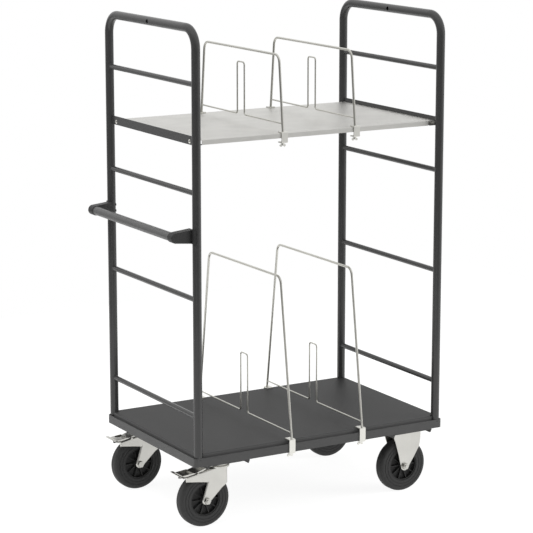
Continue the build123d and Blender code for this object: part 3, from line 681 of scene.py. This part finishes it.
class TROLLEY_OT_dividers(bpy.types.Operator):
    """Plates the divider wires, clamps and wing screws and lays the wires' weld beads"""

    bl_idname = "trolley.dividers"
    bl_label = "Dividers"

    def execute(self, context):
        metal = context.scene.trolley_metal
        wire = zinc_plate(
            "zinc_plated_wire_drawn", metal.wire_colour, grain=2.0 * MM, roughness=0.36,
        )
        clamp = zinc_plate(
            "zinc_plated_clamp_pressed", metal.clamp_colour, grain=2.0 * MM, roughness=0.4,
        )
        for name in ("upper_1", "upper_2", "lower_1", "lower_2"):
            dress(wire, f"{name}_hoop", f"{name}_finger")
            dress(clamp, f"{name}_clamps", f"{name}_front_screw", f"{name}_rear_screw")
            self.lay_beads(name, context.scene.trolley_welds, wire)
        return {"FINISHED"}

    def lay_beads(self, name, welds, wire):
        """Beads where the finger wire meets the hoop's legs and where they stand on the clamps."""
        hoop_low, hoop_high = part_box(f"{name}_hoop")
        finger_low, finger_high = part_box(f"{name}_finger")
        wire_r = (hoop_high.x - hoop_low.x) / 2
        finger_r = (finger_high.x - finger_low.x) / 2
        leg_y = finger_high.y + math.sqrt(wire_r ** 2 - finger_r ** 2)
        foot_y = hoop_high.y - wire_r
        finger_z = finger_low.z + finger_r
        lean = (foot_y - leg_y) / (finger_z - hoop_low.z)
        x = (hoop_low.x + hoop_high.x) / 2
        mouth = Vector((x, leg_y, finger_z))
        mouths = [saddle(mouth, finger_r, wire_r, lean, way, welds.steps) for way in (-1, 1)]
        feet = [foot(x, way * foot_y, hoop_low.z, wire_r, welds.steps) for way in (-1, 1)]
        for label, loops, axis in (
            ("finger_welds", mouths, ACROSS), ("foot_welds", feet, UPWARDS),
        ):
            bead = closed_bead(f"{name}_{label}", loops, axis, welds.wire_bead, wire)
            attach(bead, f"{name}_divider")


class TROLLEY_OT_stage(bpy.types.Operator):
    """Lays the pale floor, lights the dome, hangs the lamps and sets the camera"""

    bl_idname = "trolley.stage"
    bl_label = "Studio"

    def execute(self, context):
        stage = context.scene.trolley_stage
        self.lay_floor(stage)
        self.fill_world(stage)
        for name, spot, width, watts in LAMPS:
            self.hang_lamp(name, spot, width, watts)
        self.set_camera(stage)
        context.scene.view_settings.view_transform = "Standard"
        return {"FINISHED"}

    def lay_floor(self, stage):
        """Painted floor that takes light as any other, but shows as white with a faint shadow."""
        half = FLOOR_WIDTH / 2
        mesh = bpy.data.meshes.new("studio_floor")
        mesh.from_pydata(
            [(-half, -half, 0.0), (half, -half, 0.0), (half, half, 0.0), (-half, half, 0.0)],
            [], [(0, 1, 2, 3)],
        )
        floor = bpy.data.objects.new("studio_floor", mesh)
        bpy.context.scene.collection.objects.link(floor)
        material, tree, place = start_material("painted_studio_floor")
        _, tone = clouded(
            tree, place, stage.backdrop_colour, size=500 * MM, detail=2.0, dark=0.99, light=1.0,
        )
        seen = self.seen_rays(tree)
        # Seen directly or in gloss, the floor is white with a faint share of its own shadow
        faint = add_node(
            tree, "ShaderNodeMapRange", {"Value": seen, "To Min": 1.0, "To Max": SHADOW_SHARE},
        )
        dimmed = add_node(
            tree, "ShaderNodeVectorMath", {0: tone, "Scale": faint.outputs[0]}, operation="SCALE",
        )
        paint = add_node(tree, "ShaderNodeBsdfDiffuse", {"Color": dimmed.outputs["Vector"]})
        white = add_node(tree, "ShaderNodeMath", {0: seen, 1: FLOOR_GLOW}, operation="MULTIPLY")
        glow = add_node(
            tree, "ShaderNodeEmission",
            {"Color": (1.0, 1.0, 1.0, 1.0), "Strength": white.outputs[0]},
        )
        both = add_node(tree, "ShaderNodeAddShader", {0: paint.outputs[0], 1: glow.outputs[0]})
        add_node(tree, "ShaderNodeOutputMaterial", {"Surface": both.outputs[0]})
        mesh.materials.append(material)

    def fill_world(self, stage):
        """Soft dome: even light, white for the camera, and a dim and a bright side for gloss."""
        world = bpy.data.worlds.new("studio_dome")
        world.use_nodes = True
        tree = world.node_tree
        tree.nodes.clear()
        seen = self.seen_rays(tree)
        camera = add_node(tree, "ShaderNodeLightPath").outputs["Is Camera Ray"]
        ray = add_node(tree, "ShaderNodeTexCoord").outputs["Generated"]
        facing = add_node(
            tree, "ShaderNodeVectorMath", {0: ray, 1: Vector(stage.bright_way).normalized()},
            operation="DOT_PRODUCT",
        )
        sided = add_node(
            tree, "ShaderNodeMapRange",
            {"Value": facing.outputs["Value"], "From Min": DOME_DIM_AT, "From Max": DOME_BRIGHT_AT,
             "To Min": stage.dim_side, "To Max": 1.0},
            interpolation_type="SMOOTHSTEP",
        )
        white = add_node(
            tree, "ShaderNodeMath", {0: sided.outputs["Result"], 1: camera}, operation="MAXIMUM",
        )
        dome, shown = (
            add_node(
                tree, "ShaderNodeBackground",
                {"Color": (1.0, 1.0, 1.0, 1.0), "Strength": strength},
            )
            for strength in (stage.dome, white.outputs[0])
        )
        mixed = add_node(
            tree, "ShaderNodeMixShader", {"Fac": seen, 1: dome.outputs[0], 2: shown.outputs[0]},
        )
        add_node(tree, "ShaderNodeOutputWorld", {"Surface": mixed.outputs[0]})
        bpy.context.scene.world = world

    def seen_rays(self, tree):
        """One for the rays that show the backdrop: from the camera, off gloss, through glass."""
        rays = add_node(tree, "ShaderNodeLightPath").outputs
        seen = add_node(
            tree, "ShaderNodeMath", {0: rays["Is Camera Ray"], 1: rays["Is Glossy Ray"]},
            operation="MAXIMUM",
        )
        return add_node(
            tree, "ShaderNodeMath", {0: seen.outputs[0], 1: rays["Is Transmission Ray"]},
            operation="MAXIMUM",
        ).outputs[0]

    def hang_lamp(self, name, spot, width, watts):
        """A square lamp that faces the middle of the trolley."""
        light = bpy.data.lights.new(name, "AREA")
        light.shape = "SQUARE"
        light.size = width
        light.energy = watts
        lamp = bpy.data.objects.new(name, light)
        lamp.location = spot
        lamp.rotation_euler = (LAMP_TARGET - Vector(spot)).to_track_quat("-Z", "Y").to_euler()
        # Gloss meets the dome and the floor alone, so pale metal never burns out to white
        lamp.visible_glossy = False
        bpy.context.scene.collection.objects.link(lamp)

    def set_camera(self, stage):
        """The camera at the photograph's angle, without a lens shift."""
        data = bpy.data.cameras.new("photo_camera")
        data.sensor_width = SENSOR_WIDTH
        data.lens = stage.focal
        data.clip_end = VIEW_REACH
        camera = bpy.data.objects.new("photo_camera", data)
        camera.location = stage.camera_spot
        camera.rotation_euler = (math.pi / 2 - stage.camera_tilt, 0.0, stage.camera_turn)
        bpy.context.scene.collection.objects.link(camera)
        bpy.context.scene.camera = camera


# ---- Panel and start --------------------------------------------------------------------------


class TROLLEY_PT_panel(bpy.types.Panel):
    """Lists the trolley's steps in the order in which they run, and its settings"""

    bl_idname = "TROLLEY_PT_panel"
    bl_label = "Cardboard box trolley"
    bl_space_type = "VIEW_3D"
    bl_region_type = "UI"
    bl_category = "Trolley"

    def draw(self, context):
        for step in STEPS:
            self.layout.operator(step.bl_idname)
        for group, name in GROUPS.items():
            settings = getattr(context.scene, name)
            column = self.layout.column(align=True)
            for key in group.__annotations__:
                column.prop(settings, key)


STEPS = (
    TROLLEY_OT_end_frames, TROLLEY_OT_base, TROLLEY_OT_shelf, TROLLEY_OT_handle,
    TROLLEY_OT_casters, TROLLEY_OT_dividers, TROLLEY_OT_stage,
)
GROUPS = {
    TrolleyPaint: "trolley_paint", TrolleyMetal: "trolley_metal",
    TrolleyMoulding: "trolley_moulding", TrolleyScrews: "trolley_screws",
    TrolleyWelds: "trolley_welds", TrolleyStage: "trolley_stage",
}


def register():
    """Registers the settings, the steps and the panel."""
    for group, name in GROUPS.items():
        bpy.utils.register_class(group)
        setattr(bpy.types.Scene, name, PointerProperty(type=group))
    for item in STEPS + (TROLLEY_PT_panel,):
        bpy.utils.register_class(item)


def unregister():
    """Takes back what register did, in the opposite order."""
    for item in reversed(STEPS + (TROLLEY_PT_panel,)):
        bpy.utils.unregister_class(item)
    for group, name in reversed(list(GROUPS.items())):
        delattr(bpy.types.Scene, name)
        bpy.utils.unregister_class(group)


def main():
    """Runs every step on the frame."""
    register()
    bpy.ops.trolley.end_frames()
    bpy.ops.trolley.base()
    bpy.ops.trolley.shelf()
    bpy.ops.trolley.handle()
    bpy.ops.trolley.casters()
    bpy.ops.trolley.dividers()
    bpy.ops.trolley.stage()


if __name__ == "__main__":
    main()
